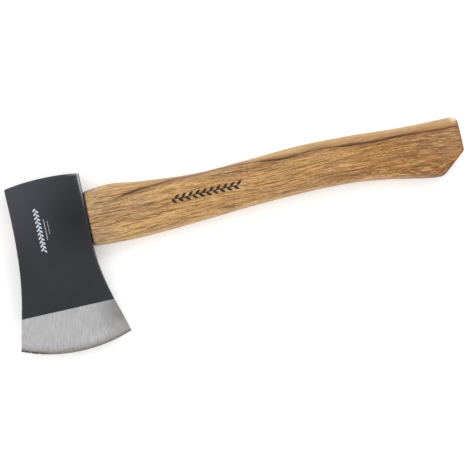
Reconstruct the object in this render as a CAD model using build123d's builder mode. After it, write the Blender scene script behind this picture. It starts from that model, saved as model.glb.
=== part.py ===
from build123d import *
import math
import os

# Hatchet lying on its cheek, in millimetres.
# +X runs along the handle from the head to the butt, +Y points at the poll, +Z is up through the
# thickness. The origin is under the middle of the whole hatchet, on the surface it lies on.
# A "reach" is a distance along +X from the head's centre line, and a "depth" is a distance along -Y
# from the corner of the poll.

# Overall size
overall_length = 355.0
head_height = 132.0
head_thickness = 24.0

# Head outline
poll_crown = 1.7
poll_crown_reach = -1.0
toe_side_drop = 0.6
handle_side_drop = 0.3
toe_side_reach = -28.3
handle_side_reach = 27.6
toe_reach = -42.9
heel_reach = 41.1
toe_side_straight = 56.0
handle_side_straight = 57.0
toe_side_waist = (-33.4, -82.0)
handle_side_waist = (33.4, -97.2)
toe_flare = 0.24
heel_flare = 0.3
rim_chamfer = 0.4

# Cutting edge and ground bit
edge_radius = 116.0
edge_centre_reach = 2.0
edge_depth = head_height - poll_crown
edge_thickness = 0.5
honed_width = 3.6
honed_thickness = 2.8
ground_depth = 97.8
ground_thickness = 9.6
cheek_parallel_depth = 45.0
cheek_end_slope = 0.13
bit_overhang = 3.2
bit_sections = 9
bit_root = 8.0
bit_root_inset = 1.0

# Eye: an oval hole along X that opens out towards the far side, so that wedges lock the tongue
eye_depth = 34.5
eye_length_near = 37.0
eye_width_near = 16.0
eye_length_far = 39.5
eye_width_far = 18.0
eye_roundness = 2.3
eye_overrun = 2.0
mouth_chamfer = 0.6

# Tongue and wedges
tongue_recess = 0.5
wood_wedge_depth = 38.0
wood_wedge_mouth = 5.2
wood_wedge_tip = 1.2
steel_wedge_depth = 20.0
steel_wedge_mouth = 2.8
steel_wedge_tip = 0.6
steel_wedge_width = 14.0
steel_wedge_spacing = 19.0
steel_wedge_count = 2

# Handle
handle_roundness = 2.8
knob_thickness = 23.7
shoulder_round = 1.6
butt_round = 0.8
back_corner_reach = 302.0
back_corner_depth = 18.9
butt_face_top = 26.0
butt_face_bottom = 47.4
slant_end = (298.0, -59.2)
knob_corner_end = (284.0, -64.2)
butt_overrun = 2.9
oval_points = 20

# Places that follow from the sizes above
head_x = -toe_reach - overall_length / 2
poll_y = head_height / 2 - poll_crown
middle_z = head_thickness / 2
butt_reach = overall_length + toe_reach
tongue_end = toe_side_reach + tongue_recess
edge_centre_depth = edge_depth - edge_radius

# Handle sections from the shoulder to past the butt: reach, depth of the back, depth of the belly
# and thickness
handle_stations = [
    (handle_side_reach, 14.4, 56.2, 20.5),
    (47.0, 13.1, 57.6, 21.4),
    (72.0, 16.4, 57.4, 21.6),
    (113.0, 19.9, 55.4, 20.8),
    (154.0, 18.4, 53.1, 21.0),
    (194.0, 16.9, 52.0, 21.8),
    (232.0, 18.1, 53.4, 22.0),
    (262.0, 20.1, 57.9, 22.8),
    (287.0, 21.0, 62.7, knob_thickness),
    (butt_reach + butt_overrun, 21.6, 63.6, knob_thickness),
]


def cross_plane(reach, depth):
    """Plane square to the handle, with its local X along +Y and its local Y along +Z."""
    return Plane(
        origin=(head_x + reach, poll_y - depth, middle_z), x_dir=(0, 1, 0), z_dir=(1, 0, 0)
    )


def oval(length, width, roundness):
    """Closed oval with its length along local X; a roundness of 2 is an ellipse, more is squarer."""
    points = []
    for step in range(oval_points):
        turn = 2 * math.pi * step / oval_points
        along = math.copysign(abs(math.cos(turn)) ** (2 / roundness), math.cos(turn))
        across = math.copysign(abs(math.sin(turn)) ** (2 / roundness), math.sin(turn))
        points.append((length / 2 * along, width / 2 * across))
    with BuildSketch(mode=Mode.PRIVATE) as sketch:
        with BuildLine():
            Spline(*points, periodic=True)
        make_face()
    return sketch.sketch


def eye_oval(reach, growth):
    """Section of the eye at a reach, grown outwards all round."""
    share = (handle_side_reach - reach) / (handle_side_reach - toe_side_reach)
    length = eye_length_near + (eye_length_far - eye_length_near) * share
    width = eye_width_near + (eye_width_far - eye_width_near) * share
    return oval(length + 2 * growth, width + 2 * growth, eye_roundness)


def edge_line(reach, inset):
    """Local Y of the cutting edge, or of a line a constant inset behind it."""
    radius = edge_radius - inset
    return -edge_centre_depth - math.sqrt(radius**2 - (reach - edge_centre_reach) ** 2)


def runs_along_rim(edge):
    """True for the outline's corners from the poll down to the honed bevel."""
    box = edge.bounding_box()
    on_poll = box.max.Y > poll_y - 2 * toe_side_drop
    down_a_side = box.size.Y > 1.1 * honed_width and box.size.X < head_thickness / 2
    return on_poll or down_a_side


head_plane = Plane(origin=(head_x, poll_y, 0))
eye_plane = Plane(origin=(head_x, poll_y - eye_depth, middle_z))
eye_side_plane = Plane(origin=eye_plane.origin, x_dir=(1, 0, 0), z_dir=(0, -1, 0))

# Space inside the eye, longer than the head at both ends
with BuildPart() as eye_space:
    for reach in (handle_side_reach + eye_overrun, toe_side_reach - eye_overrun):
        with BuildSketch(cross_plane(reach, eye_depth)):
            add(eye_oval(reach, 0))
    loft()

# Bevel round the far mouth of the eye, narrower than the eye at its inner end
with BuildPart() as eye_mouth:
    for inset in (2 * mouth_chamfer, -mouth_chamfer):
        with BuildSketch(cross_plane(toe_side_reach + inset, eye_depth)):
            add(eye_oval(toe_side_reach + inset, mouth_chamfer - inset))
    loft()

# Ground bit: flat wedge faces from a straight line down to a honed bevel that follows the edge arc
with BuildPart() as bit:
    first_reach = toe_reach - bit_overhang
    last_reach = heel_reach + bit_overhang
    for step in range(bit_sections):
        reach = first_reach + (last_reach - first_reach) * step / (bit_sections - 1)
        with BuildSketch(cross_plane(reach, 0)):
            with BuildLine():
                half_outline = Polyline(
                    (-ground_depth + bit_root, 0),
                    (-ground_depth + bit_root, ground_thickness / 2 - bit_root_inset),
                    (-ground_depth, ground_thickness / 2),
                    (edge_line(reach, honed_width), honed_thickness / 2),
                    (edge_line(reach, 0), edge_thickness / 2),
                    (edge_line(reach, 0), 0),
                )
                mirror(half_outline, about=Plane.XZ)
            make_face()
    loft()

# Axe head: parallel cheeks that sweep in to the bit, cut to the side outline, with the eye through
with BuildPart() as axe_head:
    with BuildSketch(cross_plane(first_reach, 0)):
        with BuildLine():
            cheek = Spline(
                (-cheek_parallel_depth, head_thickness / 2),
                (-ground_depth, ground_thickness / 2),
                tangents=[(-1, 0), (-1, -cheek_end_slope)],
            )
            Polyline(
                cheek @ 1,
                (-ground_depth, 0),
                (-ground_depth, -ground_thickness / 2),
            )
            mirror(cheek, about=Plane.XZ)
            Polyline(
                (-cheek_parallel_depth, -head_thickness / 2),
                (2 * poll_crown, -head_thickness / 2),
                (2 * poll_crown, head_thickness / 2),
                (-cheek_parallel_depth, head_thickness / 2),
            )
        make_face()
    extrude(amount=last_reach - first_reach)
    add(bit.part)
    with BuildSketch(head_plane):
        with BuildLine():
            poll = ThreePointArc(
                (toe_side_reach, -toe_side_drop),
                (poll_crown_reach, poll_crown),
                (handle_side_reach, -handle_side_drop),
            )
            handle_side = Line(poll @ 1, (handle_side_reach, -handle_side_straight))
            heel = Spline(
                handle_side @ 1,
                handle_side_waist,
                (heel_reach, edge_line(heel_reach, 0)),
                tangents=[(0, -1), (heel_flare, -1)],
            )
            heel_run = Line(heel @ 1, heel @ 1 + Vector(heel_flare, -1) * head_thickness)
            toe_corner = Vector(toe_reach, edge_line(toe_reach, 0))
            bottom = Line(heel_run @ 1, toe_corner + Vector(-toe_flare, -1) * head_thickness)
            toe_run = Line(bottom @ 1, toe_corner)
            toe = Spline(
                toe_corner,
                toe_side_waist,
                (toe_side_reach, -toe_side_straight),
                tangents=[(toe_flare, 1), (0, 1)],
            )
            Line(toe @ 1, poll @ 0)
        make_face()
    extrude(amount=head_thickness, mode=Mode.INTERSECT)
    chamfer(axe_head.edges().filter_by(runs_along_rim), rim_chamfer)
    add(eye_space.part, mode=Mode.SUBTRACT)
    add(eye_mouth.part, mode=Mode.SUBTRACT)

# Tongue: what fills the eye, ending a little inside the far mouth
with BuildPart() as tongue:
    add(eye_space.part)
    split(bisect_by=Plane.YZ.offset(head_x + handle_side_reach), keep=Keep.BOTTOM)
    split(bisect_by=Plane.YZ.offset(head_x + tongue_end), keep=Keep.TOP)

# Taper of the wooden wedge, which lies along the eye
with BuildPart() as wood_taper:
    with BuildSketch(eye_side_plane):
        with BuildLine():
            Polyline(
                (tongue_end, -wood_wedge_mouth / 2),
                (tongue_end + wood_wedge_depth, -wood_wedge_tip / 2),
                (tongue_end + wood_wedge_depth, wood_wedge_tip / 2),
                (tongue_end, wood_wedge_mouth / 2),
                close=True,
            )
        make_face()
    extrude(amount=eye_length_far, both=True)

# Steel wedges, side by side across the wooden one
steel_wedges = []
for number in range(steel_wedge_count):
    off_centre = (number - (steel_wedge_count - 1) / 2) * steel_wedge_spacing
    with BuildPart() as steel_wedge:
        with BuildSketch(eye_plane):
            with BuildLine():
                Polyline(
                    (tongue_end, off_centre - steel_wedge_mouth / 2),
                    (tongue_end + steel_wedge_depth, off_centre - steel_wedge_tip / 2),
                    (tongue_end + steel_wedge_depth, off_centre + steel_wedge_tip / 2),
                    (tongue_end, off_centre + steel_wedge_mouth / 2),
                    close=True,
                )
            make_face()
        extrude(amount=steel_wedge_width / 2, both=True)
    steel_wedges.append(steel_wedge.part)

# Handle: lofted grip cut off at the butt, and the tongue ahead of its shoulder
with BuildPart() as handle:
    for reach, back, belly, thickness in handle_stations:
        with BuildSketch(cross_plane(reach, (back + belly) / 2)):
            add(oval(belly - back, thickness, handle_roundness))
    loft()
    with BuildSketch(head_plane):
        with BuildLine():
            back_line = Line((0, 0), (back_corner_reach, -back_corner_depth))
            back_corner = TangentArc(
                back_line @ 1, (butt_reach, -butt_face_top), tangent=back_line % 1
            )
            butt_face = Line(back_corner @ 1, (butt_reach, -butt_face_bottom))
            slant = Line(butt_face @ 1, slant_end)
            knob_corner = TangentArc(slant @ 1, knob_corner_end, tangent=slant % 1)
            Polyline(knob_corner @ 1, (knob_corner @ 1) - (0, head_height), (0, -head_height), (0, 0))
        make_face()
    extrude(amount=head_thickness, mode=Mode.INTERSECT)
    butt_rim = handle.edges().filter_by_position(
        Axis.X, head_x + knob_corner_end[0], head_x + butt_reach + 1
    )
    butt_corners = butt_rim.filter_by(Axis.Z)
    fillet(
        butt_rim.filter_by(
            lambda edge: edge not in butt_corners or edge.center().Y < poll_y - eye_length_far
        ),
        butt_round,
    )
    shoulder = handle.edges().filter_by_position(
        Axis.X, head_x + handle_side_reach - 0.1, head_x + handle_side_reach + 0.1
    )
    fillet(shoulder, shoulder_round)
    add(tongue.part)
    add(wood_taper.part, mode=Mode.SUBTRACT)
    add(steel_wedges, mode=Mode.SUBTRACT)

with BuildPart() as wooden_wedge:
    add(tongue.part)
    add(wood_taper.part, mode=Mode.INTERSECT)
    add(steel_wedges, mode=Mode.SUBTRACT)

os.makedirs("parts", exist_ok=True)
axe_head.part.label = "axe_head"
export_step(axe_head.part, "parts/axe_head.step")
handle.part.label = "handle"
export_step(handle.part, "parts/handle.step")
wooden_wedge.part.label = "wooden_wedge"
export_step(wooden_wedge.part, "parts/wooden_wedge.step")
for number, wedge in enumerate(steel_wedges, start=1):
    wedge.label = f"steel_wedge_{number}"
    export_step(wedge, f"parts/steel_wedge_{number}.step")
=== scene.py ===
import bmesh
import bpy
import math
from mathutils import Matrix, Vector


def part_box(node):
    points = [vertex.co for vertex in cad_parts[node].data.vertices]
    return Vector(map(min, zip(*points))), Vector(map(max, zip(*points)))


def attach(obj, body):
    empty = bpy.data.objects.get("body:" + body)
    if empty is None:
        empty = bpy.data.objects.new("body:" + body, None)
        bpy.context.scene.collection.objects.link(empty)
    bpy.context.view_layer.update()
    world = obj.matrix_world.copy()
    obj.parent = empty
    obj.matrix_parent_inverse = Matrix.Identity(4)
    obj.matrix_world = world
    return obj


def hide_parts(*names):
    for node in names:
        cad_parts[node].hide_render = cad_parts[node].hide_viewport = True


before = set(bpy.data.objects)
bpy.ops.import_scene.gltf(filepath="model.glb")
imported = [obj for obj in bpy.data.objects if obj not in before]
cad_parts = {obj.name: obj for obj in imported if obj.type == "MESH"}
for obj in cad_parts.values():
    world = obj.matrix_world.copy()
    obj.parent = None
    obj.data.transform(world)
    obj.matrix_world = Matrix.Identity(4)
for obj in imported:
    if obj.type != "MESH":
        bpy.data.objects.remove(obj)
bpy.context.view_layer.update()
print("frame loaded")

# Everything below is worked out in millimetres from the head: reach runs along the handle,
# depth runs from the poll to the edge, rise is up from the middle of the thickness
mm = 0.001
headLow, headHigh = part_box("axe_head")
middleZ = (headLow.z + headHigh.z) / 2
toeReach = -42.9
pollCrown = 1.7
headX = headLow.x - toeReach * mm
pollY = headHigh.y - pollCrown * mm


def place(reach, depth, rise):
    return Vector((headX + reach * mm, pollY - depth * mm, middleZ + rise * mm))


def smoothCurve(points):
    # cubic through the points, with the slope at each one taken from its neighbours
    def slopeAt(i):
        lower, upper = max(i - 1, 0), min(i + 1, len(points) - 1)
        return (points[upper][1] - points[lower][1]) / (points[upper][0] - points[lower][0])

    def value(x):
        x = min(max(x, points[0][0]), points[-1][0])
        i = 0
        while i < len(points) - 2 and x > points[i + 1][0]:
            i += 1
        (x0, y0), (x1, y1) = points[i], points[i + 1]
        span = x1 - x0
        t = (x - x0) / span
        a = slopeAt(i) * span
        b = slopeAt(i + 1) * span
        return (
            y0 * (1 + 2 * t) * (1 - t) ** 2 + a * t * (1 - t) ** 2
            + y1 * t * t * (3 - 2 * t) + b * t * t * (t - 1)
        )

    return value


def spread(low, high, count):
    return [low + (high - low) * i / (count - 1) for i in range(count)]


# ---- mesh helpers

sameSpot = 2e-7         # points nearer than this are one point
sliver = 2e-6           # edges shorter than this, left by a cut, are closed up


def finishMesh(bm, name):
    bmesh.ops.remove_doubles(bm, verts=bm.verts, dist=sameSpot)
    bmesh.ops.recalc_face_normals(bm, faces=bm.faces)
    mesh = bpy.data.meshes.new(name)
    bm.to_mesh(mesh)
    bm.free()
    piece = bpy.data.objects.new(name, mesh)
    bpy.context.scene.collection.objects.link(piece)
    return piece


def bakeModifiers(piece):
    # the evaluated result becomes the piece's own plain mesh
    bpy.context.view_layer.update()
    graph = bpy.context.evaluated_depsgraph_get()
    mesh = bpy.data.meshes.new_from_object(piece.evaluated_get(graph))
    old = piece.data
    piece.modifiers.clear()
    piece.data = mesh
    bpy.data.meshes.remove(old)
    mesh.name = piece.name
    return piece


def cut(piece, cutter, operation="DIFFERENCE"):
    step = piece.modifiers.new("cut", "BOOLEAN")
    step.operation = operation
    step.solver = "EXACT"
    step.object = cutter
    bakeModifiers(piece)
    # weld the slivers that a cut leaves along its seam
    bm = bmesh.new()
    bm.from_mesh(piece.data)
    bmesh.ops.remove_doubles(bm, verts=bm.verts, dist=sliver)
    bmesh.ops.dissolve_degenerate(bm, edges=bm.edges, dist=sliver)
    bm.to_mesh(piece.data)
    bm.free()
    return piece


def discard(thing):
    bpy.data.objects.remove(thing)


def softShade(piece, degrees=32):
    # smooth faces with a hard line wherever two of them meet at more than the angle
    bm = bmesh.new()
    bm.from_mesh(piece.data)
    limit = math.radians(degrees)
    for face in bm.faces:
        face.smooth = True
    for edge in bm.edges:
        edge.smooth = len(edge.link_faces) == 2 and edge.calc_face_angle(0) < limit
    bm.to_mesh(piece.data)
    bm.free()
    return piece


def oval(length, width, roundness, turns):
    # points of a closed oval from the back round to the belly and up the other side
    ring = []
    for turn in turns:
        c, s = math.cos(turn), math.sin(turn)
        ring.append((
            -length / 2 * math.copysign(abs(c) ** (2 / roundness), c),
            width / 2 * math.copysign(abs(s) ** (2 / roundness), s),
        ))
    return ring


def skinRings(bm, rings):
    # rings are equal lists of places, joined one to the next
    rows = [[bm.verts.new(p) for p in ring] for ring in rings]
    for near, far in zip(rows, rows[1:]):
        for i in range(len(near)):
            j = (i + 1) % len(near)
            bm.faces.new((near[i], near[j], far[j], far[i]))
    return rows


def quarterSteps(steps):
    # angles of a quarter turn from 0 up to, not including, its end
    return [math.pi / 2 * i / steps for i in range(steps)]


# ---- materials


def srgb(red, green, blue):
    def linear(c):
        c /= 255
        return c / 12.92 if c <= 0.04045 else ((c + 0.055) / 1.055) ** 2.4

    return (linear(red), linear(green), linear(blue), 1.0)


def addNode(tree, kind, inputs=None, **settings):
    made = tree.nodes.new(kind)
    for key, value in settings.items():
        setattr(made, key, value)
    for key, value in (inputs or {}).items():
        if isinstance(value, bpy.types.NodeSocket):
            tree.links.new(value, made.inputs[key])
        else:
            made.inputs[key].default_value = value
    return made


def calc(tree, operation, a, b=0.0, c=0.0, clamp=False):
    made = addNode(tree, "ShaderNodeMath", {0: a, 1: b, 2: c}, operation=operation, use_clamp=clamp)
    return made.outputs[0]


def times(tree, first, *others, clamp=False):
    for other in others:
        first = calc(tree, "MULTIPLY", first, other, clamp=clamp)
    return first


def timesPlus(tree, a, b, c):
    return calc(tree, "MULTIPLY_ADD", a, b, c)


def minus(tree, a, b):
    return calc(tree, "SUBTRACT", a, b)


def over(tree, a, b):
    return calc(tree, "DIVIDE", a, b)


def sizeOf(tree, a):
    return calc(tree, "ABSOLUTE", a)


def splitAxes(tree, spot):
    made = addNode(tree, "ShaderNodeSeparateXYZ", {0: spot})
    return made.outputs[0], made.outputs[1], made.outputs[2]


def joinAxes(tree, x, y=0.0, z=0.0):
    return addNode(tree, "ShaderNodeCombineXYZ", {0: x, 1: y, 2: z}).outputs[0]


def stretched(tree, spot, stretch, shift=(0.0, 0.0, 0.0)):
    made = addNode(tree, "ShaderNodeVectorMath", {0: spot, 1: stretch, 2: shift}, operation="MULTIPLY_ADD")
    return made.outputs[0]


def noiseAt(tree, spot, stretch, detail=2.0, roughness=0.5, distortion=0.0, shift=(0.0, 0.0, 0.0)):
    # stretch is how fast the noise changes along each axis
    made = addNode(tree, "ShaderNodeTexNoise", {
        "Vector": stretched(tree, spot, stretch, shift), "Scale": 1.0, "Detail": detail,
        "Roughness": roughness, "Distortion": distortion,
    })
    return made.outputs["Fac"]


def ranged(tree, value, low, high, toLow=0.0, toHigh=1.0):
    made = addNode(tree, "ShaderNodeMapRange", {
        "Value": value, "From Min": low, "From Max": high, "To Min": toLow, "To Max": toHigh,
    }, interpolation_type="SMOOTHSTEP")
    return made.outputs["Result"]


def between(tree, value, start, full, fading, gone):
    # rises from 0 to 1, and falls back to 0 further on
    return times(tree, ranged(tree, value, start, full), ranged(tree, value, gone, fading))


def tint(tree, amount, base, top, blend="MIX"):
    # 6 and 7 are the mix node's two colours, and 2 is the colour that comes out
    made = addNode(tree, "ShaderNodeMix", {0: amount, 6: base, 7: top}, data_type="RGBA", blend_type=blend)
    return made.outputs[2]


def stain(tree, colour, top, pattern, low, high, amount):
    # lays the top colour on as the pattern goes from low to high
    return tint(tree, ranged(tree, pattern, low, high, 0.0, amount), colour, top)


def ramp(tree, value, stops):
    made = addNode(tree, "ShaderNodeValToRGB", {"Fac": value})
    elements = made.color_ramp.elements
    while len(elements) < len(stops):
        elements.new(0.5)
    for element, (position, colour) in zip(elements, stops):
        element.position = position
        element.color = colour
    return made.outputs["Color"]


def spotAway(tree, a, b, shape):
    # squared distance from the middle of an oval spot, 1 at its rim
    atA, atB, halfA, halfB = shape
    a = over(tree, minus(tree, a, atA), halfA)
    b = over(tree, minus(tree, b, atB), halfB)
    return timesPlus(tree, a, a, times(tree, b, b))


def fadeOut(tree, away):
    # 1 at the middle, falling smoothly to nothing
    return calc(tree, "POWER", math.exp(-1), away)


def spotMask(tree, a, b, shape):
    return fadeOut(tree, spotAway(tree, a, b, shape))


def newMaterial(name, **settings):
    material = bpy.data.materials.new(name)
    material.use_nodes = True
    shader = material.node_tree.nodes["Principled BSDF"]
    for key, value in settings.items():
        shader.inputs[key.replace("_", " ")].default_value = value
    return material, material.node_tree, shader


def fromHead(tree):
    # (reach, depth, rise) in millimetres from the object's own coordinates
    coordinates = addNode(tree, "ShaderNodeTexCoord").outputs["Object"]
    shift = (-headX / mm, pollY / mm, -middleZ / mm)
    return stretched(tree, coordinates, (1 / mm, -1 / mm, 1 / mm), shift)


def wire(tree, shader, **values):
    # joins each value to the shader's socket of that name
    for key, value in values.items():
        tree.links.new(value, shader.inputs[key.replace("_", " ")])


def bump(tree, shader, height, distance, strength):
    made = addNode(tree, "ShaderNodeBump", {"Height": height, "Distance": distance, "Strength": strength})
    wire(tree, shader, Normal=made.outputs["Normal"])


# ---- outline shared by the head, the eye and the tongue

outline = {
    "toeSide": [         # depth, and the side's reach there
        (0, -28.2), (28, -28.2), (46.3, -28.9), (64.3, -30.5), (82, -33.4), (99.4, -37.5), (121.4, toeReach),
    ],
    "handleSide": [
        (0, 27.9), (20, 27.8), (40, 27.4), (56, 27.0), (68.3, 27.7), (82.6, 30.0), (97.2, 33.5), (112, 37.9),
        (123.6, 41.1),
    ],
    "edgeRadius": 116.0,
    "edgeCentreReach": 2.0,
    "edgeCentreDepth": 14.3,
    "crownReach": -1.0,
    "toeFall": (2.3, 27.2),     # how far the crown falls, and over what length
    "handleFall": (2.0, 28.9),
}
toeSide = smoothCurve(outline["toeSide"])
handleSide = smoothCurve(outline["handleSide"])


def edgeDepth(reach, inset):
    radius = outline["edgeRadius"] - inset
    across = reach - outline["edgeCentreReach"]
    return outline["edgeCentreDepth"] + math.sqrt(radius * radius - across * across)


def pollDepth(reach):
    # the poll is a shallow crown that falls a little further towards the toe side
    away = reach - outline["crownReach"]
    fall, length = outline["toeFall"] if away < 0 else outline["handleFall"]
    return -pollCrown + fall * (away / length) ** 2


# ---- axe head

head = {
    "thickness": 23.88,
    "parallelDepth": 45.0,      # where the cheeks start to sweep in
    "groundDepth": 97.8,        # where the lacquer stops
    "groundHalf": 4.8,
    "groundSlope": 0.13,
    "honedWidth": 3.6,
    "honedHalf": 1.4,
    "edgeHalf": 0.14,
    "rimRadius": 0.65,
    "rimSteps": 5,
    "rimShare": 0.3,            # the most of the half thickness that a rim's rounding takes
    "rimWearWidth": 0.9,
    "columns": 130,
    "pollRows": [0, 1.2, 3, 6],
    "cheekRowsFrom": 14.0,
    "cheekRows": 36,
    "groundRows": 15,
    "honedRows": 7,
    "wallShares": [0.0, 0.04, 0.25, 0.5, 0.75, 0.96, 1.0],
    "firstGuess": 30.0,         # how far the sides are from the middle, before the passes find it
    "passes": 8,
    "bitCrease": 12,            # degrees
    "nicks": [                  # reach, depth and half length of each chip in the edge
        (-40.9, 0.45, 0.5), (-38.6, 0.4, 0.6), (-36.0, 0.5, 0.8), (-33.2, 0.3, 0.5), (-30.2, 0.42, 0.7),
        (-25.0, 0.25, 0.5),
    ],
}
lacquered, ground, honed = 0, 1, 2


def cheekHalf(depth):
    full, start, end = head["thickness"] / 2, head["parallelDepth"], head["groundDepth"]
    if depth <= start:
        return full
    span = end - start
    t = (depth - start) / span
    return (
        full * (1 + 2 * t) * (1 - t) ** 2 + head["groundHalf"] * t * t * (3 - 2 * t)
        - head["groundSlope"] * span * t * t * (t - 1)
    )


def headRows():
    # each row gives its depth for a reach, how far it is inside the poll, its half thickness and its finish
    rim, start = head["rimRadius"], head["groundDepth"]
    rows = []
    insets = [rim * (1 - math.cos(angle)) for angle in quarterSteps(head["rimSteps"])]
    for inset in insets + [rim + further for further in head["pollRows"]]:
        rows.append((lambda r, d=inset: pollDepth(r) + d, min(inset, rim), cheekHalf(0), lacquered))
    for depth in spread(head["cheekRowsFrom"], start, head["cheekRows"]):
        rows.append((lambda r, d=depth: d, rim, cheekHalf(depth), lacquered))
    for share in spread(0, 1, head["groundRows"])[1:]:
        half = head["groundHalf"] + (head["honedHalf"] - head["groundHalf"]) * share
        rows.append((
            lambda r, s=share: start + (edgeDepth(r, head["honedWidth"]) - start) * s, rim, half, ground,
        ))
    for share in spread(0, 1, head["honedRows"])[1:]:
        half = head["honedHalf"] + (head["edgeHalf"] - head["honedHalf"]) * share
        rows.append((lambda r, s=share: edgeDepth(r, head["honedWidth"] * (1 - s)), rim, half, honed))
    return rows


def nickDepth(reach):
    return sum(size * math.exp(-(((reach - at) / width) ** 2)) for at, size, width in head["nicks"])


def cheekSheet():
    # a grid of (reach, depth, rise) over one cheek, rounded down all round its rim
    rim = head["rimRadius"]
    middle = spread(0, 1, head["columns"])
    sheet = []
    rows = headRows()
    for number, (depthAt, pollInset, half) in enumerate(row[:3] for row in rows):
        left, right = -head["firstGuess"], head["firstGuess"]
        for _ in range(head["passes"]):
            left, right = toeSide(max(depthAt(left), 0)), handleSide(max(depthAt(right), 0))
        local = min(rim, head["rimShare"] * half)
        insets = [local * (1 - math.cos(angle)) for angle in quarterSteps(head["rimSteps"])]
        places = [(left + d, d) for d in insets]
        places += [(left + local + (right - left - 2 * local) * t, local) for t in middle]
        places += [(right - d, d) for d in reversed(insets)]
        b = 1 - pollInset / rim
        line = []
        for reach, sideInset in places:
            a = 1 - sideInset / local
            roundA, roundB = a * math.sqrt(1 - b * b / 2), b * math.sqrt(1 - a * a / 2)
            reach += math.copysign((a - roundA) * local, -reach)
            depth = depthAt(reach) + (b - roundB) * rim
            drop = local * (1 - math.sqrt(max(0.0, 1 - roundA ** 2 - roundB ** 2)))
            if number == len(rows) - 1:
                depth -= nickDepth(reach)
            line.append((reach, depth, half - drop))
        sheet.append(line)
    return sheet, [row[3] for row in rows]


def buildShell(name, sheet, finishes):
    # both cheeks over a run of rows, closed by walls round all four sides
    bm = bmesh.new()
    top = [[bm.verts.new(place(r, d, h)) for r, d, h in line] for line in sheet]
    low = [[bm.verts.new(place(r, d, -h)) for r, d, h in line] for line in sheet]
    first = min(finishes)

    def panel(corners, finish):
        bm.faces.new(corners).material_index = finish - first

    def wall(upper, lower, wallFinishes):
        shares = head["wallShares"]
        columns = []
        for up, down in zip(upper, lower):
            between = [bm.verts.new(up.co.lerp(down.co, share)) for share in shares[1:-1]]
            columns.append([up] + between + [down])
        for near, far, finish in zip(columns, columns[1:], wallFinishes):
            for k in range(len(shares) - 1):
                panel((near[k], far[k], far[k + 1], near[k + 1]), finish)

    last = len(sheet[0]) - 1
    for i, finish in enumerate(finishes[1:]):
        for j in range(last):
            panel((top[i][j], top[i + 1][j], top[i + 1][j + 1], top[i][j + 1]), finish)
            panel((low[i][j], low[i][j + 1], low[i + 1][j + 1], low[i + 1][j]), finish)
    for j in (0, last):
        wall([row[j] for row in top], [row[j] for row in low], finishes[1:])
    wall(top[0], low[0], [finishes[1]] * last)
    wall(top[-1], low[-1], [finishes[-1]] * last)
    return finishMesh(bm, name)


def markRims(piece):
    # 1 on the rims between the cheeks and the sides, falling to 0 a little way from them
    wear = piece.data.attributes.new("rimWearAndHighlight", "FLOAT", "POINT")
    for number, vertex in enumerate(piece.data.vertices):
        reach = (vertex.co.x - headX) / mm
        depth = (pollY - vertex.co.y) / mm
        rise = (vertex.co.z - middleZ) / mm
        sideDepth = max(depth, 0)
        inside = min(reach - toeSide(sideDepth), handleSide(sideDepth) - reach, depth - pollDepth(reach))
        below = cheekHalf(sideDepth) - abs(rise)
        away = math.hypot(max(inside, 0), max(below, 0)) / head["rimWearWidth"]
        wear.data[number].value = math.exp(-away * away)


eye = {
    "depth": 34.5,
    "lengthNear": 37.0,
    "widthNear": 16.0,
    "lengthFar": 39.5,
    "widthFar": 18.0,
    "roundness": 2.3,
    "nearReach": 27.6,
    "farReach": -28.3,
    "boreAhead": (3, -20),      # the cutter's straight rings, from the near reach
    "bevel": 0.9,
    "bevelSteps": [(1, 0), (0.35, 0.25), (0, 0.85), (-1, 2)],   # along and outwards, as shares of the bevel
}


def eyeRing(reachAt, growth, turns):
    # reachAt gives the reach for a depth, so that a ring can follow the side of the head
    share = (eye["nearReach"] - reachAt(eye["depth"])) / (eye["nearReach"] - eye["farReach"])
    length = eye["lengthNear"] + (eye["lengthFar"] - eye["lengthNear"]) * share + 2 * growth
    width = eye["widthNear"] + (eye["widthFar"] - eye["widthNear"]) * share + 2 * growth
    points = oval(length, width, eye["roundness"], turns)
    return [place(reachAt(eye["depth"] + across), eye["depth"] + across, rise) for across, rise in points]


def buildEyeCutter(turns):
    # straight through the eye, and widened at the toe side for the bevel of its far mouth
    bevel = eye["bevel"]
    rings = [eyeRing(lambda depth, a=ahead: eye["nearReach"] + a, 0, turns) for ahead in eye["boreAhead"]]
    for along, growth in eye["bevelSteps"]:
        rings.append(eyeRing(lambda depth, a=along: toeSide(depth) + bevel * a, bevel * growth, turns))
    bm = bmesh.new()
    rows = skinRings(bm, rings)
    bm.faces.new(rows[0])
    bm.faces.new(rows[-1])
    return finishMesh(bm, "eye_cutter")


handleShape = {
    "back": [            # reach, and the depth there
        (27.6, 14.8), (47.8, 13.2), (71.7, 16.4), (113.5, 19.9), (154, 18.6), (194, 16.9), (232, 18.0),
        (270, 20.5), (313, 21.2),
    ],
    "belly": [
        (27.6, 56.0), (47, 57.3), (72, 57.4), (113.5, 55.4), (150, 53.2), (194, 52.0), (227, 52.9),
        (251, 56.0), (269, 59.4), (287, 62.6), (300, 63.0), (313, 63.0),
    ],
    "thickness": [
        (27.6, 20.5), (47, 21.4), (72, 21.6), (113, 20.8), (154, 21.0), (194, 21.8), (232, 22.0),
        (262, 22.8), (287, 23.7), (313, 23.7),
    ],
    "roundness": 2.8,
    "ringPoints": 144,
    "stations": 250,
    "passes": 30,
    "capSteps": 10,
    "shoulderGap": 0.35,
    "shoulderRound": 1.7,
    "buttRound": 1.1,
    "roundSteps": 5,
    "buttReach": 312.1,
    "backCornerRound": 5.0,
    "faceTop": 26.2,
    "faceBottom": 47.4,
    "slantEnd": (296.0, 60.87),
    "knobCentre": (290.2, 54.0),
    "knobRound": 9.0,
    "tongueGap": 0.08,
    "tongueRecess": 0.5,
    "tongueChamfer": 0.35,
    "tongueStations": (-8.0, 10.0),
}
backAt = smoothCurve(handleShape["back"])
bellyAt = smoothCurve(handleShape["belly"])
thicknessAt = smoothCurve(handleShape["thickness"])


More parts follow.
